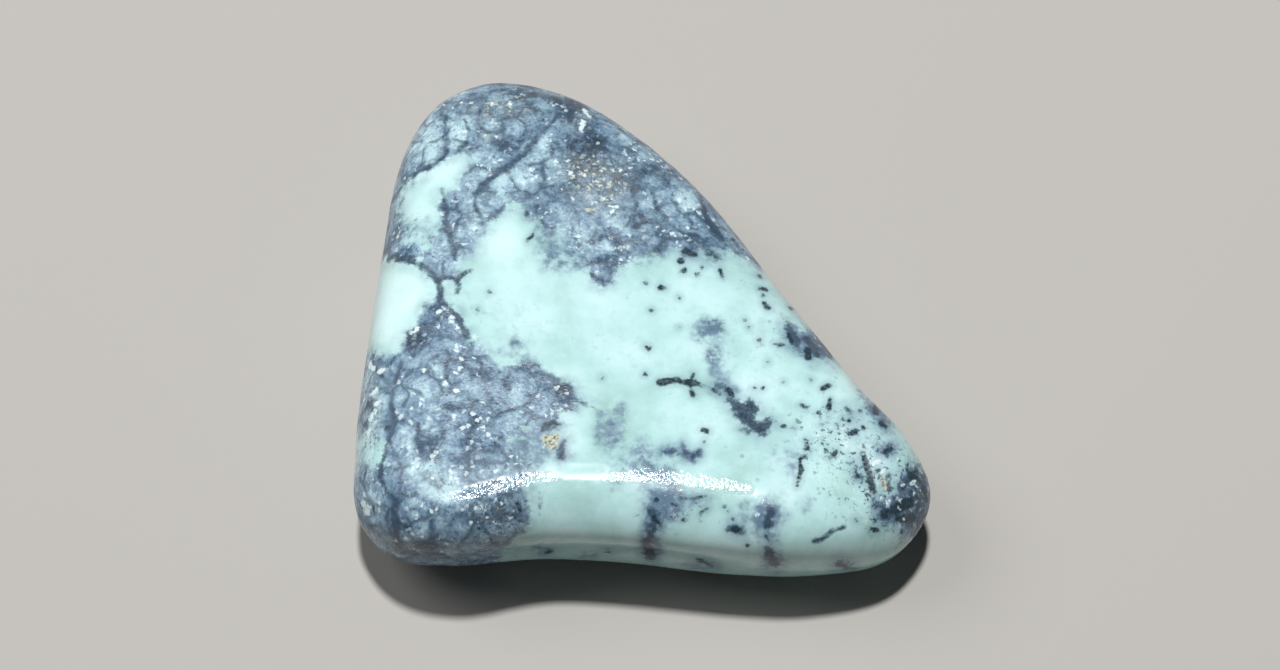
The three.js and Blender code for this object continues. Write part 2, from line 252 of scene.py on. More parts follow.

# Light and dark places inside the slate: the same five numbers, with a strength below 0 where it is dark.
# A few light ones at the heel are a painted highlight.
TONES = [
    (588, 146, 22, 16, -0.9), (572, 108, 12, 14, -0.8), (452, 235, 10, 30, -0.2), (725, 232, 20, 20, 0.5),
    (440, 142, 26, 20, 0.4), (600, 270, 18, 14, -0.5), (540, 112, 26, 16, -0.5), (640, 240, 8, 20, -0.2),
    (720, 225, 14, 24, -0.2), (690, 248, 14, 8, -0.6), (415, 342, 12, 12, -1.0), (560, 388, 18, 14, -1.0),
    (494, 390, 14, 12, -0.4), (462, 442, 44, 18, -0.35), (396, 540, 12, 24, -0.4),
    (434, 535, 10, 20, -0.1), (488, 522, 34, 14, 0.1), (910, 508, 22, 16, -1.0), (924, 502, 10, 30, -1.4),
    (905, 520, 14, 10, -0.8), (915, 478, 12, 12, -0.8), (398, 252, 18, 8, -0.5), (820, 342, 12, 14, -0.9),
    (440, 325, 12, 14, -0.3), (510, 150, 16, 14, -0.4), (600, 120, 14, 8, -0.3), (655, 515, 14, 14, -0.3),
    (560, 85, 60, 10, -0.5), (680, 205, 20, 20, 0.65), (648, 237, 12, 12, 0.55), (608, 246, 10, 10, 0.35),
    (545, 150, 12, 14, 0.7), (472, 214, 8, 18, 0.75), (500, 198, 16, 12, 0.7), (420, 235, 18, 16, 0.9),
    (432, 140, 20, 18, 0.5), (456, 134, 8, 14, 0.5), (478, 165, 10, 8, 0.7), (410, 160, 12, 16, 0.5),
    (430, 400, 20, 16, 0.55), (434, 364, 12, 8, 0.6), (518, 392, 16, 8, 0.5), (405, 440, 10, 14, 0.6),
    # The first two below are a painted highlight where the bright streak fades into the heel
    (435, 474, 26, 12, 0.75), (448, 490, 16, 8, 0.7), (500, 468, 26, 10, 0.5), (500, 430, 24, 14, 0.25),
    (525, 185, 22, 14, 0.4), (458, 262, 18, 10, 0.6), (372, 500, 8, 26, 0.5), (420, 505, 14, 12, 0.2),
    (602, 182, 36, 24, -0.3), (500, 520, 34, 20, -0.45), (575, 240, 24, 18, 0.55), (700, 505, 10, 8, 0.4),
    (800, 335, 6, 10, 0.1), (650, 160, 16, 14, 0.1), (378, 445, 12, 18, 1.0), (380, 384, 10, 12, 0.6),
    (380, 412, 11, 24, 1.5), (367, 400, 8, 40, 0.9),
    # A painted highlight where the bright streak fades into the heel, as the first three, and pale cells of
    # the far end
    (414, 466, 12, 12, 0.9), (430, 480, 16, 10, 0.9), (445, 494, 16, 8, 1.2), (430, 140, 30, 22, 0.3),
    (432, 160, 9, 8, 1.1), (460, 135, 8, 14, 0.6), (466, 116, 10, 10, 0.7), (548, 140, 10, 14, 0.6),
    (500, 198, 14, 9, 0.5), (474, 222, 9, 14, 0.6), (612, 244, 12, 8, 0.5), (684, 200, 14, 14, 0.4),
    (590, 118, 8, 6, 0.9), (625, 137, 10, 5, 0.7), (560, 108, 12, 12, -0.6), (578, 104, 8, 10, -0.6),
    (536, 208, 10, 8, -0.6), (490, 216, 8, 6, -0.6), (396, 258, 14, 5, -0.7), (430, 272, 9, 8, -0.6),
    (440, 304, 12, 6, -0.7), (462, 330, 6, 16, -0.5), (412, 344, 10, 10, -0.6), (566, 394, 12, 10, -0.5),
    (540, 372, 16, 6, -0.4), (398, 512, 6, 34, -0.5), (432, 530, 5, 26, -0.5), (510, 170, 34, 30, 0.6),
    (588, 146, 16, 12, -0.6), (710, 328, 14, 12, -0.5), (420, 550, 30, 8, -0.3), (390, 408, 5, 30, -0.6),
    (655, 250, 8, 6, -0.5),
]

# White flecks, as chains like the veins.
FLECKS = [
    [(555, 437, 2)], [(544, 437, 1.6)], [(543, 446, 1.8)], [(553, 443, 1.2)], [(440, 312, 3)],
    [(451, 317, 2.4)], [(457, 327, 2.6)], [(417, 329, 2.6)], [(411, 333, 1.8)], [(475, 337, 2.8)],
    [(480, 344, 1.8)], [(423, 370, 2.2)], [(478, 376, 1.8)], [(445, 383, 2.4)], [(457, 391, 2.4)],
    [(422, 400, 2.4)], [(425, 406, 2.2)], [(480, 419, 2.6)], [(489, 413, 2.2)], [(522, 412, 2)],
    [(547, 398, 2)], [(536, 397, 1.4)], [(432, 511, 2.4), (437, 509, 1.6)], [(395, 540, 1.8)],
    [(405, 539, 2.2)], [(438, 539, 1.6)], [(370, 365, 3.4), (374, 369, 2.4)],
    [(380, 372, 3), (385, 370, 2.4)], [(370, 396, 1.6), (377, 390, 2.8)],
    [(376, 404, 2.2), (381, 401, 1.8)], [(371, 419, 2.4), (376, 411, 2)],
    [(368, 434, 2.4), (370, 428, 1.4)], [(364, 400, 2)],
    [(363, 503, 3), (367, 514, 2.6), (369, 508, 2.2)], [(568, 161, 2.2)], [(570, 173, 2)],
    [(584, 175, 2.4)], [(601, 171, 2)], [(604, 198, 2)], [(613, 199, 2)], [(609, 205, 2)],
    [(617, 206, 1.8)], [(612, 212, 1.4)], [(679, 200, 2.6)], [(540, 198, 2.2)], [(512, 184, 2.4)],
    [(531, 170, 2.4)], [(583, 122, 2.2), (581, 131, 2)], [(584, 111, 2), (590, 117, 1.8)],
    [(492, 104, 1.6)], [(509, 104, 1.8)], [(519, 99, 1.4)], [(453, 123, 1.6)], [(496, 137, 1.8)],
    [(484, 136, 1.6)], [(556, 162, 2.2)], [(562, 188, 1.8)], [(448, 219, 1.4)], [(454, 225, 1.6)],
    [(903, 484, 2)], [(916, 486, 1.8)], [(899, 499, 1.8)], [(914, 494, 1.4)], [(889, 501, 1.8)],
    [(757, 514, 1.8)], [(615, 267, 1.4)], [(688, 228, 1.6)], [(488, 517, 1.6)], [(502, 505, 1.6)],
    [(470, 522, 1.6)], [(476, 508, 1.4)], [(432, 478, 1.4)], [(748, 258, 1.8)], [(634, 142, 1.6)],
    [(620, 170, 1.4)], [(911, 484, 1.8), (915, 481, 1.4)], [(907, 497, 1.6)], [(921, 490, 1.4)],
    [(900, 509, 1.4)], [(916, 503, 1.6)], [(905, 518, 1.4)], [(888, 508, 1.6)],
    [(881, 472, 2), (886, 468, 1.6)], [(880, 461, 1.6), (874, 464, 1.4)], [(497, 500, 1.6)],
    [(486, 505, 1.4)], [(471, 505, 1.4)], [(463, 511, 1.6)],
]

# Rusty and golden grains, as chains: in the golden pit, on the far end and in the nose's second groove.
RUST = [
    [(546, 438, 4.5), (552, 444, 6)], [(556, 438, 4.5)], [(586, 210, 1.2), (595, 209, 1.3)],
    [(881, 474, 1.8), (884, 481, 2.7), (886, 487, 2.2)], [(365, 509, 1.8)],
]

# The solid's facets leave its pit broad. The skin fills it, and the hollow below cuts it at its real width.
PIT = Vector((-4.15, -8.85, 7.6)) * MM
PIT_RADIUS = 0.75 * MM
PIT_DEPTH = 0.2

# Hollows worn in the skin, as chains with a depth in millimetres, and the width that each edge slopes over.
HOLLOWS = [
    ("golden pit", [(551, 440, 6), (554, 445, 6)], 0.12, 0.2),
    ("first nose groove", [(862, 452, 2), (868, 470, 2.5), (873, 484, 2)], 0.09, 0.15),
    ("second nose groove", [(879, 468, 2.5), (884, 480, 3), (886, 490, 2.5)], 0.1, 0.16),
    ("third nose groove", [(889, 474, 2), (889, 493, 2)], 0.07, 0.14),
    ("heel scratch", [(446, 468, 3), (452, 476, 3)], 0.06, 0.16),
    ("brown spot", [(530, 462, 3)], 0.05, 0.16),
    ("heel ridge", [(430, 510, 2), (460, 505, 2), (490, 499, 2), (528, 489, 2)], -0.12, 1.3),
    ("left edge chip", [(371, 506, 4), (372, 516, 4)], 0.1, 0.25),
]

# Where the skin is grainy under the lamp and breaks its reflection into sparkles, as chains.
SPARKLES = [
    [(454, 498, 4), (474, 492, 7), (502, 486, 8), (532, 480, 8), (556, 477, 4)],
    [(606, 478, 4), (640, 474, 7), (680, 477, 8), (720, 483, 7), (748, 488, 4)],
]

# Where the skin is rubbed dull, as chains.
RUBBED = [
    [(424, 480, 12), (450, 476, 13), (480, 467, 13), (512, 462, 11), (536, 461, 5)],
    [(560, 470, 2), (602, 470, 2)],
]

# Where loose specks are sown in the mint: the five numbers of the clouds.
SPECK_FIELDS = [
    (830, 430, 50, 40, 0.8), (760, 330, 50, 60, 0.35), (700, 270, 50, 20, 0.35), (680, 515, 60, 20, 0.7),
    (850, 490, 60, 50, 0.5), (480, 320, 60, 40, 0.3), (600, 350, 60, 40, 0.22), (895, 490, 30, 40, 1.0),
    (370, 420, 16, 70, 1.0), (410, 225, 24, 20, 0.7), (565, 250, 30, 24, 0.5), (495, 515, 36, 26, 1.0),
    (590, 175, 50, 40, 0.8), (500, 115, 50, 20, 0.6), (900, 495, 30, 40, 0.6),
]

# Where the patches' edges are loose and mottled instead of crisp: the five numbers of the clouds.
LOOSE_FIELDS = [
    (570, 240, 34, 34, 0.8), (560, 262, 26, 16, 0.7), (530, 440, 26, 36, 1.0), (545, 424, 20, 16, 0.5),
    (372, 420, 22, 60, 0.7), (905, 500, 30, 44, 1.0), (420, 232, 26, 22, 0.8), (500, 206, 26, 12, 0.5),
    (676, 508, 40, 26, 0.8), (522, 372, 30, 12, 0.1), (815, 345, 20, 20, 0.4), (872, 400, 16, 30, 0.7),
]

# Where the slate is a crumble of brownish, black and white grains: the five numbers of the clouds.
CRUMB_FIELDS = [
    (602, 182, 34, 26, 0.9), (575, 168, 22, 14, 0.5), (500, 108, 44, 14, 0.7), (488, 138, 12, 10, 0.5),
    (575, 122, 12, 16, 0.5), (570, 92, 40, 8, 0.5), (500, 515, 40, 26, 0.35),
]

# Where the mint is milky white: the five numbers of the clouds.
MILK_FIELDS = [
    (400, 295, 30, 34, 0.9), (500, 240, 26, 24, 0.7), (438, 172, 28, 18, 0.9), (515, 275, 30, 16, 0.35),
    (585, 300, 40, 24, 0.25), (715, 300, 30, 16, 0.3), (850, 385, 20, 18, 0.5), (830, 480, 30, 14, 0.3),
    (570, 410, 20, 12, 0.3), (420, 215, 14, 16, 0.5), (410, 340, 16, 14, 0.5), (385, 330, 14, 20, 0.6),
]

# How the finer skin is made from the CAD solid.
QUAD_BEND = math.radians(50)
QUAD_SKEW = math.radians(70)
SUBDIVISIONS = 2

# Relief in millimetres.
WAVE_SIZE = 4.6
WAVE_DEPTH = 0.05
RIPPLE_SIZE = 1.7
RIPPLE_DEPTH = 0.012
VEIN_GROOVE = 0.022
SLATE_GRAIN_SIZE = 0.8
SLATE_GRAIN_DEPTH = 0.022
CHIP_SIZE = 1.25
CHIP_DEPTH = 0.05
# A chip's radius as a share of its cell, and the number that picks the cells that have one.
CHIP_RADIUS = 0.3
CHIP_PICK = 7.3
# The relief fades out over this height above the flat that the stone rests on.
FLAT_GUARD = 0.35

# What a pixel of depth counts beside one across the picture, and the depth that a field fades over.
DEPTH_WEIGHT = 0.5
FIELD_DEPTH = 60

# How far a face is turned away from the camera, as a cosine: where it starts to count as hidden, and where
# it counts in full.
HIDDEN_RISE = (-0.05, 0.6)
# How far the patches stray on the hidden sides, in pixels, and over what size in millimetres.
STRAY = 75
STRAY_SIZE = 7.0
# Patches and clouds of the hidden sides' own: their sizes in millimetres, and the noise that they start at.
OWN_PATCH_SIZE = 5.5
OWN_PATCH_START = 0.3
OWN_CLOUD_SIZE = 2.6
OWN_CLOUD_RISE = (0.1, 0.6)
# How speckled those sides are, and how loose their patches' edges.
HIDDEN_SPECKS = 0.4
HIDDEN_LOOSENESS = 0.3

# More pixels than any mark reaches.
FAR_OFF = 1000
# The darkest and lightest that the tones may add up to.
TONE_LIMITS = (-1.2, 1.8)
# Each noise is read at its own distance from the origin, so that no two repeat each other.
SHIFTS = {
    "waves": 3.0, "ripples": 5.0, "grains": 9.0, "stray x": 11.0, "stray y": 23.0, "own patches": 31.0,
    "own clouds": 41.0,
}


def camera_axes():
    """The camera's right, up and backward directions."""
    right = Vector((1, 0, 0))
    up = Vector((0, math.sin(ELEVATION), math.cos(ELEVATION)))
    back = Vector((0, -math.cos(ELEVATION), math.sin(ELEVATION)))
    return right, up, back


RIGHT, UP, BACK = camera_axes()
CAMERA_PLACE = TARGET + DISTANCE * BACK
FOCAL_PIXELS = LENS / SENSOR * PHOTO_WIDTH


def make_camera():
    """The camera at the photograph's viewing angle."""
    data = bpy.data.cameras.new("photo_camera")
    data.lens = LENS
    data.sensor_width = SENSOR
    data.clip_start = 0.01
    data.clip_end = 20
    camera = bpy.data.objects.new("photo_camera", data)
    camera.location = CAMERA_PLACE
    camera.rotation_euler = (math.pi / 2 - ELEVATION, 0, 0)
    bpy.context.collection.objects.link(camera)
    bpy.context.scene.camera = camera


def seen_from_camera(points):
    """Points in metres as (pixel x, pixel y, weighted depth in pixels), one row each."""
    away = points - np.array(CAMERA_PLACE)
    depth = -(away @ np.array(BACK))
    x = PHOTO_WIDTH / 2 + away @ np.array(RIGHT) / depth * FOCAL_PIXELS
    y = PHOTO_HEIGHT / 2 - away @ np.array(UP) / depth * FOCAL_PIXELS
    return np.stack([x, y, depth / MM * PIXELS_PER_MM * DEPTH_WEIGHT], axis=-1)


class Stone:
    """The stone's surface, for finding where a pixel of the photograph lies on it."""

    def __init__(self, mesh):
        self.tree = BVHTree.FromPolygons([v.co for v in mesh.vertices], [p.vertices for p in mesh.polygons])

    def under_pixel(self, x, y):
        """The seen place of the surface under a pixel, or of the surface nearest to its ray."""
        sideways = RIGHT * (x - PHOTO_WIDTH / 2) - UP * (y - PHOTO_HEIGHT / 2)
        ray = (sideways / FOCAL_PIXELS - BACK).normalized()
        hit = self.tree.ray_cast(CAMERA_PLACE, ray)[0]
        if hit is None:
            hit = self.tree.find_nearest(CAMERA_PLACE + ray * DISTANCE)[0]
        return np.array([x, y, seen_from_camera(np.array([hit]))[0, 2]])


def inside_chain(places, stone, chain):
    """How deep each place lies in a chain of links, in pixels: above 0 inside, below 0 outside."""
    links = [stone.under_pixel(x, y) for x, y, _ in chain]
    radii = [radius for _, _, radius in chain]
    if len(chain) == 1:
        return radii[0] - np.linalg.norm(places - links[0], axis=1)
    deepest = np.full(len(places), -np.inf)
    for start, end, first, last in zip(links, links[1:], radii, radii[1:]):
        step = end - start
        share = np.clip((places - start) @ step / (step @ step), 0, 1)
        gap = np.linalg.norm(places - start - share[:, None] * step, axis=1)
        deepest = np.maximum(deepest, first + (last - first) * share - gap)
    return deepest


def inside_chains(places, stone, chains):
    """The same for the union of several chains, in millimetres."""
    return np.max([inside_chain(places, stone, chain) for chain in chains], axis=0) / PIXELS_PER_MM


def inside_outline(places, outline):
    """How deep each place lies inside an outline seen in the photograph, in pixels."""
    x, y = places[:, 0], places[:, 1]
    inside = np.zeros(len(places), bool)
    nearest = np.full(len(places), np.inf)
    for (ax, ay), (bx, by) in zip(outline, outline[1:] + outline[:1]):
        if ay != by:
            crosses = (ay > y) != (by > y)
            inside ^= crosses & (x < ax + (bx - ax) * (y - ay) / (by - ay))
        length = (bx - ax) ** 2 + (by - ay) ** 2
        share = np.clip(((x - ax) * (bx - ax) + (y - ay) * (by - ay)) / length, 0, 1)
        nearest = np.minimum(nearest, np.hypot(x - ax - share * (bx - ax), y - ay - share * (by - ay)))
    return np.where(inside, nearest, -nearest)


def soft_fields(places, stone, fields):
    """Each field's strength at each place, one row per field, fading from its middle like a bell."""
    rows = []
    for x, y, half_width, half_height, strength in fields:
        away = (places - stone.under_pixel(x, y)) / (half_width, half_height, FIELD_DEPTH)
        rows.append(strength * np.exp(-np.sum(away * away, axis=1)))
    return np.array(rows)


def rise(value, low, high):
    """0 below low, 1 above high and smooth between them."""
    share = np.clip((value - low) / (high - low), 0, 1)
    return share * share * (3 - 2 * share)


def noise_at(points, size, use):
    """Smooth noise from about -1 to 1 with lumps of a size in millimetres."""
    scaled = points / (size * MM) + SHIFTS[use]
    return np.array([noise.noise(p) for p in scaled])


def chips_at(points, size):
    """Rounded chips, 1 in the middle and 0 outside, in about half of the cells of a size in millimetres."""
    depths = np.zeros(len(points))
    for i, p in enumerate(points / (size * MM)):
        distances, centres = noise.voronoi(Vector(p))
        if noise.cell(centres[0] * CHIP_PICK) > 0:
            depths[i] = max(0.0, 1 - distances[0] / CHIP_RADIUS)
    return depths


def finer_skin(node):
    """A mesh of small quads on the CAD solid's surface, rounded between its facets."""
    solid = bmesh.new()
    solid.from_mesh(node.data)
    bmesh.ops.remove_doubles(solid, verts=solid.verts, dist=0.001 * MM)
    bmesh.ops.join_triangles(
        solid, faces=solid.faces, angle_face_threshold=QUAD_BEND, angle_shape_threshold=QUAD_SKEW
    )
    mesh = bpy.data.meshes.new("pebble_quads")
    solid.to_mesh(mesh)
    solid.free()
    coarse = bpy.data.objects.new("pebble_quads", mesh)
    bpy.context.collection.objects.link(coarse)
    smooth = coarse.modifiers.new("rounding", "SUBSURF")
    smooth.levels = SUBDIVISIONS
    smooth.render_levels = SUBDIVISIONS
    depsgraph = bpy.context.evaluated_depsgraph_get()
    fine = bpy.data.meshes.new_from_object(coarse.evaluated_get(depsgraph))
    bpy.data.objects.remove(coarse)
    bpy.data.meshes.remove(mesh)
    fine.materials.clear()
    return fine


def mesh_points(mesh, what="co"):
    """The places, or with what="normal" the normals, of a mesh's vertices as rows."""
    values = np.empty(len(mesh.vertices) * 3)
    mesh.vertices.foreach_get(what, values)
    return values.reshape(-1, 3)


def mark_stone(points, normals, stone):
    """Every mark of the stone as one number per vertex."""
    places = seen_from_camera(points)
    hidden = rise(-(normals @ np.array(BACK)), *HIDDEN_RISE)
    strayed = places.copy()
    for axis, use in enumerate(("stray x", "stray y")):
        strayed[:, axis] += STRAY * hidden * noise_at(points, STRAY_SIZE, use)

    slate = np.max([inside_outline(strayed, outline) for outline in SLATE_PATCHES.values()], axis=0)
    for window in MINT_WINDOWS.values():
        slate = np.minimum(slate, -inside_outline(strayed, window) + FAR_OFF * hidden)
    own_patches = STRAY * (noise_at(points, OWN_PATCH_SIZE, "own patches") - OWN_PATCH_START)
    slate = np.maximum(slate, own_patches - FAR_OFF * (1 - hidden))
    tones = soft_fields(places, stone, TONES)
    own_clouds = hidden * rise(noise_at(points, OWN_CLOUD_SIZE, "own clouds"), *OWN_CLOUD_RISE)
    clouds = np.vstack([soft_fields(places, stone, CLOUDS), own_clouds])
    specks = soft_fields(places, stone, SPECK_FIELDS)
    loose = soft_fields(places, stone, LOOSE_FIELDS)
    milk = soft_fields(places, stone, MILK_FIELDS)
    crumbs = soft_fields(places, stone, CRUMB_FIELDS)
    return {
        "slate": slate / PIXELS_PER_MM,
        "vein": inside_chains(places, stone, VEINS),
        "spot": inside_chains(places, stone, SPOTS),
        "blot": inside_chains(places, stone, BLOTS),
        "fleck": inside_chains(places, stone, FLECKS),
        "rust": inside_chains(places, stone, RUST),
        "sparkle": inside_chains(places, stone, SPARKLES),
        "rubbed": inside_chains(places, stone, RUBBED),
        "tone": np.clip(tones.sum(axis=0), *TONE_LIMITS),
        "cloud": 1 - np.prod(1 - clouds, axis=0),
        "specks": np.clip(specks.sum(axis=0) + HIDDEN_SPECKS * hidden, 0, 1),
        "loose": np.clip(loose.sum(axis=0) + HIDDEN_LOOSENESS * hidden, 0, 1),
        "milk": np.clip(milk.sum(axis=0), 0, 1),
        "crumbs": np.clip(crumbs.sum(axis=0), 0, 1),
    }


def wear_skin(points, normals, marks, stone):
    """The vertices moved along their normals: hollows, grooves, chips and slow waves."""
    places = seen_from_camera(points)
    in_slate = rise(marks["slate"], -0.1, 0.3)
    lift = WAVE_DEPTH * noise_at(points, WAVE_SIZE, "waves")
    lift += RIPPLE_DEPTH * noise_at(points, RIPPLE_SIZE, "ripples")
    lift -= VEIN_GROOVE * rise(marks["vein"], -0.06, 0.1)
    lift += SLATE_GRAIN_DEPTH * in_slate * noise_at(points, SLATE_GRAIN_SIZE, "grains")
    lift -= CHIP_DEPTH * in_slate * chips_at(points, CHIP_SIZE)
    from_pit = (points - np.array(PIT)) / PIT_RADIUS
    lift += PIT_DEPTH * np.exp(-np.sum(from_pit * from_pit, axis=1))
    for _, chain, depth, slope in HOLLOWS:
        inside = inside_chain(places, stone, chain) / PIXELS_PER_MM
        lift -= depth * rise(inside, -slope / 2, slope / 2)
    lift *= rise(points[:, 2] / MM, 0, FLAT_GUARD)
    return points + normals * (lift * MM)[:, None]


def make_pebble():
    """The visible stone: the CAD solid's shape with its fine skin and its marks."""
    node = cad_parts[NODE]
    mesh = finer_skin(node)
    mesh.name = "tumbled_pebble"
    stone = Stone(mesh)
    points = mesh_points(mesh)
    normals = mesh_points(mesh, "normal")
    marks = mark_stone(points, normals, stone)
    worn = wear_skin(points, normals, marks, stone)
    mesh.vertices.foreach_set("co", worn.ravel())
    for name, values in marks.items():
        mesh.attributes.new(name, "FLOAT", "POINT").data.foreach_set("value", values.astype(np.float32))
    mesh.shade_smooth()
    mesh.update()
    pebble = bpy.data.objects.new("tumbled_pebble", mesh)
    bpy.context.collection.objects.link(pebble)
    mesh.materials.append(serpentine())
    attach(pebble, "root")
    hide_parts(NODE)


class Paint:
    """Short names for the shader nodes of one material. Lengths are millimetres."""

    def __init__(self, name):
        self.material = bpy.data.materials.new(name)
        self.material.use_nodes = True
        self.tree = self.material.node_tree
        self.shader = self.tree.nodes["Principled BSDF"]
        place = self.add("ShaderNodeTexCoord").outputs["Object"]
        self.place = self.vectors("SCALE", {0: place, "Scale": 1 / MM})

    def add(self, kind, inputs=None, **settings):
        node = self.tree.nodes.new(kind)
        for name, value in settings.items():
            setattr(node, name, value)
        for name, value in (inputs or {}).items():
            self.put(node.inputs[name], value)
        return node

    def put(self, socket, value):
        if isinstance(value, bpy.types.NodeSocket):
            self.tree.links.new(value, socket)
        elif socket.type == "RGBA" and len(value) == 3:
            socket.default_value = (*value, 1)
        else:
            socket.default_value = value

    def mark(self, name):
        return self.add("ShaderNodeAttribute", attribute_name=name).outputs["Fac"]

    def maths(self, operation, a, b):
        return self.add("ShaderNodeMath", {0: a, 1: b}, operation=operation).outputs[0]

    def vectors(self, operation, inputs):
        return self.add("ShaderNodeVectorMath", inputs, operation=operation).outputs["Vector"]

    def rise(self, value, low, high, start=0.0, end=1.0):
        inputs = {"Value": value, "From Min": low, "From Max": high, "To Min": start, "To Max": end}
        return self.add("ShaderNodeMapRange", inputs, interpolation_type="SMOOTHSTEP").outputs["Result"]

    def noise(self, size, detail=2.0, roughness=0.5, distortion=0.0, place=None):
        inputs = {
            "Vector": place or self.place, "Scale": 1 / size, "Detail": detail, "Roughness": roughness,
            "Distortion": distortion,
        }
        return self.add("ShaderNodeTexNoise", inputs).outputs["Fac"]

    def warped(self, size, reach):
        """The place, pushed about by noise: up to half of reach each way."""
        lumps = self.add("ShaderNodeTexNoise", {"Vector": self.place, "Scale": 1 / size}).outputs["Color"]
        centred = self.vectors("SUBTRACT", {0: lumps, 1: (0.5, 0.5, 0.5)})
        push = self.vectors("SCALE", {0: centred, "Scale": reach})
        return self.vectors("ADD", {0: self.place, 1: push})

    def cells(self, size, feature="F1", place=None):
        inputs = {"Vector": place or self.place, "Scale": 1 / size}
        return self.add("ShaderNodeTexVoronoi", inputs, feature=feature)

    def ramp(self, value, stops):
        node = self.add("ShaderNodeValToRGB", {"Fac": value})
        elements = node.color_ramp.elements
        while len(elements) < len(stops):
            elements.new(0.5)
        for element, (position, colour) in zip(elements, stops):
            element.position = position
            element.color = (*colour, 1)
        return node.outputs["Color"]

    def mix(self, share, a, b):
        node = self.add("ShaderNodeMix", data_type="RGBA", clamp_factor=True)
        self.put(node.inputs[0], share)
        self.put(node.inputs[6], a)
        self.put(node.inputs[7], b)
        return node.outputs[2]

    def mix_number(self, share, a, b):
        node = self.add("ShaderNodeMix", data_type="FLOAT", clamp_factor=True)
        self.put(node.inputs[0], share)
        self.put(node.inputs[2], a)
        self.put(node.inputs[3], b)
        return node.outputs[0]

    def chosen(self, cell, share):
        """1 in a share of the cells and 0 in the others."""
        first = self.add("ShaderNodeSeparateColor", {0: cell.outputs["Color"]}).outputs[0]
        return self.maths("LESS_THAN", first, share)

    def grains(self, size, radius, share):
        """1 on round grains, sown in a share of the cells."""
        cell = self.cells(size)
        round_part = self.rise(cell.outputs["Distance"], radius / size, 0.4 * radius / size)
        return self.maths("MULTIPLY", round_part, self.chosen(cell, share))

    def flakes(self, size, share, place):
        """1 on angular flakes: a share of the cells, each drawn in from its walls."""
        walls = self.cells(size, "DISTANCE_TO_EDGE", place).outputs["Distance"]
        drawn_in = self.rise(walls, 0.02, 0.16)
        return self.maths("MULTIPLY", drawn_in, self.chosen(self.cells(size, place=place), share))


# Linear colours.
MINT_CLEAR = (0.450, 0.690, 0.690)
MINT_MILKY = (0.560, 0.780, 0.795)
MINT_GREEN = (0.350, 0.560, 0.530)
MINT_WHITE = (0.640, 0.860, 0.860)
SLATE_BLACK = (0.022, 0.043, 0.072)
SLATE_DARK = (0.066, 0.124, 0.192)
SLATE_MIDDLE = (0.150, 0.243, 0.338)
SLATE_PALE = (0.250, 0.378, 0.470)
SLATE_MILKY = (0.440, 0.630, 0.690)
VEIN_COLOUR = (0.036, 0.067, 0.108)
SPOT_COLOUR = (0.018, 0.038, 0.054)
CLOUD_COLOUR = (0.120, 0.196, 0.285)
FLECK_COLOUR = (0.700, 0.830, 0.850)
CREAM_COLOUR = (0.540, 0.630, 0.560)
BLOT_COLOUR = (0.026, 0.050, 0.085)
CRUMB_COLOUR = (0.190, 0.205, 0.200)
RUST_COLOUR = (0.150, 0.168, 0.125)
GOLD_COLOUR = (0.500, 0.530, 0.430)
FLOOR_COLOUR = (0.420, 0.405, 0.380)
ROOM_COLOUR = (0.920, 0.960, 1.000)

# Metres across.
FLOOR_SIZE = 6.0

# What is the same all over the stone. Light sinks a little way in, as in wax.
WAXY = {
    "IOR": 1.54,
    "Subsurface Weight": 0.1,
    "Subsurface Radius": (0.8, 1.0, 0.95),
    "Subsurface Scale": 0.5 * MM,
}


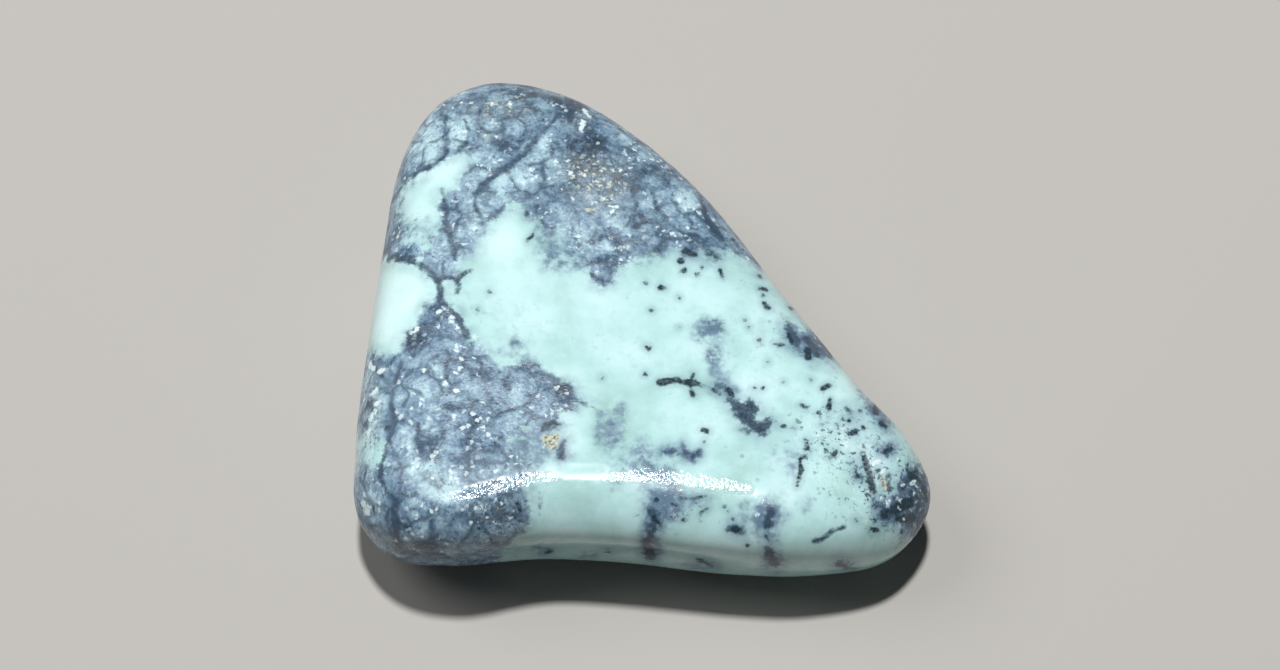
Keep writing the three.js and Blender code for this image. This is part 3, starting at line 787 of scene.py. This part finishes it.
def serpentine():
    """Polished serpentine: mint green, slate-blue patches, dark veins and spots, and white flecks."""
    paint = Paint("serpentine")
    specks = paint.mark("specks")
    fine = paint.noise(0.16, detail=3, roughness=0.6)
    middling = paint.noise(0.42, detail=3, roughness=0.6)
    ragged = paint.noise(1.1, detail=4, roughness=0.6)

    def pushed(value, lumps, reach):
        """A value with noise added, up to half of reach each way."""
        centred = paint.maths("SUBTRACT", lumps, 0.5)
        return paint.maths("ADD", value, paint.maths("MULTIPLY", centred, reach))

    def edge(mark, softness, *rags):
        """1 inside a mark, with its edge broken by noise of three sizes, coarse, middling and fine."""
        broken = paint.mark(mark)
        for lumps, rag in zip((ragged, middling, fine), rags):
            broken = pushed(broken, lumps, rag)
        return paint.rise(broken, -softness, softness)

    def times(*factors):
        """Factors multiplied together."""
        product = factors[0]
        for factor in factors[1:]:
            product = paint.maths("MULTIPLY", product, factor)
        return product

    # The mint: slow clouds of milky and greener stone, with faint dots in it
    slow = paint.noise(3.4, detail=4, roughness=0.55)
    mint = paint.ramp(slow, [(0.30, MINT_GREEN), (0.47, MINT_CLEAR), (0.66, MINT_MILKY)])
    mottle = paint.noise(0.9, detail=5, roughness=0.65)
    mint = paint.mix(paint.rise(mottle, 0.5, 0.75, 0, 0.55), mint, MINT_GREEN)
    mint = paint.mix(paint.rise(mottle, 0.5, 0.25, 0, 0.5), mint, MINT_MILKY)
    mint = paint.mix(paint.rise(middling, 0.5, 0.8, 0, 0.45), mint, MINT_GREEN)
    faint = times(paint.grains(0.8, 0.17, 0.3), paint.rise(ragged, 0.4, 0.65, 0, 0.5))
    mint = paint.mix(faint, mint, CLOUD_COLOUR)

    milky = times(paint.mark("milk"), paint.rise(ragged, 0.25, 0.6, 0.6, 1.2))
    mint = paint.mix(milky, mint, MINT_WHITE)

    # The slate: mottled from near black to milky blue, with cells parted by broken dark lines
    warped = paint.warped(1.2, 0.9)
    cell = paint.cells(1.5, place=warped).outputs["Distance"]
    cell_walls = paint.cells(1.5, "DISTANCE_TO_EDGE", warped).outputs["Distance"]
    mottled = paint.noise(1.0, detail=5, roughness=0.6, distortion=0.6)
    streaky = paint.noise(2.6, detail=3)
    # The listed tones lighten and darken it, and at the heel they paint the highlight where the bright
    # streak fades
    tone = paint.maths("ADD", paint.rise(mottled, 0.2, 0.8, 0.2, 0.86), times(paint.mark("tone"), 0.34))
    tone = pushed(tone, streaky, 0.35)
    tone = pushed(tone, middling, paint.rise(specks, 0.3, 1.0, 0.7, 1.3))
    tone = pushed(tone, fine, paint.rise(specks, 0.3, 1.0, 0.75, 1.4))
    tone = paint.maths("ADD", tone, paint.rise(cell, 0.15, 0.75, 0.09, -0.09))
    slate = paint.ramp(tone, [
        (0.04, SLATE_BLACK), (0.24, SLATE_DARK), (0.46, SLATE_MIDDLE), (0.70, SLATE_PALE),
        (0.98, SLATE_MILKY),
    ])
    walls = times(paint.rise(cell_walls, 0.13, 0.0, 0, 0.75), paint.rise(ragged, 0.38, 0.58))
    slate = paint.mix(walls, slate, VEIN_COLOUR)
    crumbled = paint.warped(0.3, 0.25)
    clustered = paint.rise(paint.noise(1.8, detail=2), 0.45, 0.62, 0.15, 1.0)
    crumbs = paint.mark("crumbs")
    slate = paint.mix(times(crumbs, paint.rise(middling, 0.36, 0.6, 0.9, 0.25)), slate, CRUMB_COLOUR)
    black_grains = paint.rise(paint.noise(0.3, detail=3, roughness=0.6, place=crumbled), 0.58, 0.66, 0, 0.6)
    slate = paint.mix(black_grains, slate, SLATE_BLACK)
    white_grains = times(paint.flakes(0.24, 0.16, crumbled), clustered, 0.75)
    slate = paint.mix(white_grains, slate, FLECK_COLOUR)
    cream_grains = times(paint.flakes(0.2, 0.2, crumbled), paint.rise(crumbs, 0.2, 0.9), 0.85)
    slate = paint.mix(cream_grains, slate, CREAM_COLOUR)

    # Soft blue-grey clouds in the mint, mottled like the slate; some are painted shade round the golden pit
    wisps = times(paint.rise(ragged, 0.25, 0.66, 0.45, 1.3), paint.rise(middling, 0.28, 0.68, 0.55, 1.4))
    cloudy = paint.rise(times(paint.mark("cloud"), wisps), 0.02, 0.9, 0, 0.95)
    near_slate = paint.rise(paint.mark("slate"), -0.9, 0.0, 0, 0.5)
    cloudy = paint.maths("MAXIMUM", cloudy, times(near_slate, paint.rise(ragged, 0.36, 0.64, 0.1, 1)))
    mint = paint.mix(cloudy, mint, paint.mix(0.55, slate, CLOUD_COLOUR))

    loose = paint.mark("loose")
    in_slate = edge(
        "slate", 0.2, paint.mix_number(loose, 1.2, 4.0), paint.mix_number(loose, 0.7, 3.2),
        paint.mix_number(loose, 0.3, 1.2),
    )
    colour = paint.mix(in_slate, mint, slate)

    # Loose specks in the mint
    islands = paint.noise(0.42, detail=3, roughness=0.62, place=crumbled)
    sown = times(paint.rise(islands, 0.62, 0.66), paint.rise(specks, 0.1, 0.9), 0.85)
    colour = paint.mix(sown, colour, SPOT_COLOUR)
    pepper = paint.noise(0.24, detail=2, roughness=0.6, place=crumbled)
    thick = paint.rise(specks, 0.4, 1.0)
    colour = paint.mix(times(paint.rise(pepper, 0.585, 0.635), thick, 0.8), colour, SPOT_COLOUR)
    colour = paint.mix(times(paint.rise(pepper, 0.39, 0.345), thick, 0.8), colour, FLECK_COLOUR)

    # The listed marks, each with its own strength here and there
    patchy = paint.rise(middling, 0.28, 0.6, 0.6, 0.95)
    in_vein = edge("vein", 0.11, 0.4, 0.3, 0.2)
    colour = paint.mix(times(in_vein, patchy), colour, VEIN_COLOUR)
    # Some blots and spots are painted shade round the golden pit
    haze = times(paint.rise(paint.mark("blot"), -0.8, 0.1, 0, 0.5), paint.rise(ragged, 0.3, 0.6, 0.5, 1))
    colour = paint.mix(haze, colour, CLOUD_COLOUR)
    in_blot = edge("blot", 0.15, 0.5, 0.6, 0.4)
    colour = paint.mix(times(in_blot, paint.rise(fine, 0.35, 0.6, 1.0, 0.88)), colour, BLOT_COLOUR)
    halo = paint.rise(paint.mark("spot"), -0.4, 0.05, 0, 0.3)
    colour = paint.mix(halo, colour, CLOUD_COLOUR)
    in_spot = edge("spot", 0.07, 0.14, 0.24, 0.12)
    colour = paint.mix(times(in_spot, paint.rise(fine, 0.3, 0.6, 0.8, 1.0)), colour, SPOT_COLOUR)
    in_fleck = edge("fleck", 0.05, 0.2, 0.4, 0.25)
    colour = paint.mix(times(in_fleck, 0.9), colour, FLECK_COLOUR)
    in_rust = edge("rust", 0.06, 0.1, 0.3, 0.3)
    rusty = paint.mix(paint.rise(fine, 0.4, 0.56), RUST_COLOUR, GOLD_COLOUR)
    colour = paint.mix(in_rust, colour, rusty)

    # The polish is even on the mint and broken by grains on the slate and its clouds. It is dull where it
    # is rubbed and round the rusty grains, and grainy but glossy where it sparkles
    grainy = paint.maths("MAXIMUM", in_slate, paint.rise(cloudy, 0.4, 0.9, 0, 0.45))
    grain = paint.noise(0.17, detail=2, roughness=0.6)
    rubbed = paint.rise(paint.mark("rubbed"), -0.5, 0.1)
    sparkle = paint.rise(paint.mark("sparkle"), -0.2, 0.12)
    roughness = paint.mix_number(grainy, 0.16, paint.rise(grain, 0.3, 0.7, 0.26, 0.42))
    roughness = paint.mix_number(rubbed, roughness, 0.6)
    roughness = paint.mix_number(sparkle, roughness, 0.15)
    dull = paint.rise(paint.mark("rust"), -1.4, -0.4, 0, 0.9)
    roughness = paint.mix_number(dull, roughness, 0.65)
    skin = paint.noise(0.5, detail=3)
    height = paint.mix_number(grainy, times(skin, 0.008), times(grain, 0.02))
    height = paint.mix_number(sparkle, height, times(grain, 0.036))
    bump = paint.add("ShaderNodeBump", {"Height": height, "Distance": MM, "Strength": 1.0})

    paint.put(paint.shader.inputs["Base Color"], colour)
    paint.put(paint.shader.inputs["Roughness"], roughness)
    paint.put(paint.shader.inputs["Normal"], bump.outputs["Normal"])
    for name, value in WAXY.items():
        paint.put(paint.shader.inputs[name], value)
    return paint.material


def make_floor():
    """A plain pale floor."""
    mesh = bpy.data.meshes.new("floor")
    half = FLOOR_SIZE / 2
    corners = [(-half, -half, 0), (half, -half, 0), (half, half, 0), (-half, half, 0)]
    mesh.from_pydata(corners, [], [(0, 1, 2, 3)])
    material = bpy.data.materials.new("pale_floor")
    material.use_nodes = True
    shader = material.node_tree.nodes["Principled BSDF"]
    shader.inputs["Base Color"].default_value = (*FLOOR_COLOUR, 1)
    shader.inputs["Roughness"].default_value = 0.75
    shader.inputs["Specular IOR Level"].default_value = 0.2
    mesh.materials.append(material)
    floor = bpy.data.objects.new("floor", mesh)
    bpy.context.collection.objects.link(floor)


def add_light(name, place, size, watts):
    """A round soft light that shines on the stone. Metres and watts."""
    data = bpy.data.lights.new(name, "AREA")
    data.shape = "DISK"
    data.size = size
    data.energy = watts
    light = bpy.data.objects.new(name, data)
    light.location = place
    light.rotation_euler = (TARGET - light.location).to_track_quat("-Z", "Y").to_euler()
    bpy.context.collection.objects.link(light)


def make_lights():
    """A lamp overhead and slightly behind, a wide soft box on the left and a dim pale room."""
    add_light("lamp", Vector((-0.01, 0.078, 0.5)), size=0.045, watts=2.75)
    add_light("soft_box", Vector((-0.5, 0.16, 0.6)), size=0.5, watts=1.9)
    world = bpy.data.worlds.new("room")
    world.use_nodes = True
    background = world.node_tree.nodes["Background"]
    background.inputs["Color"].default_value = (*ROOM_COLOUR, 1)
    background.inputs["Strength"].default_value = 0.05
    bpy.context.scene.world = world
    bpy.context.scene.view_settings.view_transform = "Standard"


make_camera()
make_pebble()
make_floor()
make_lights()
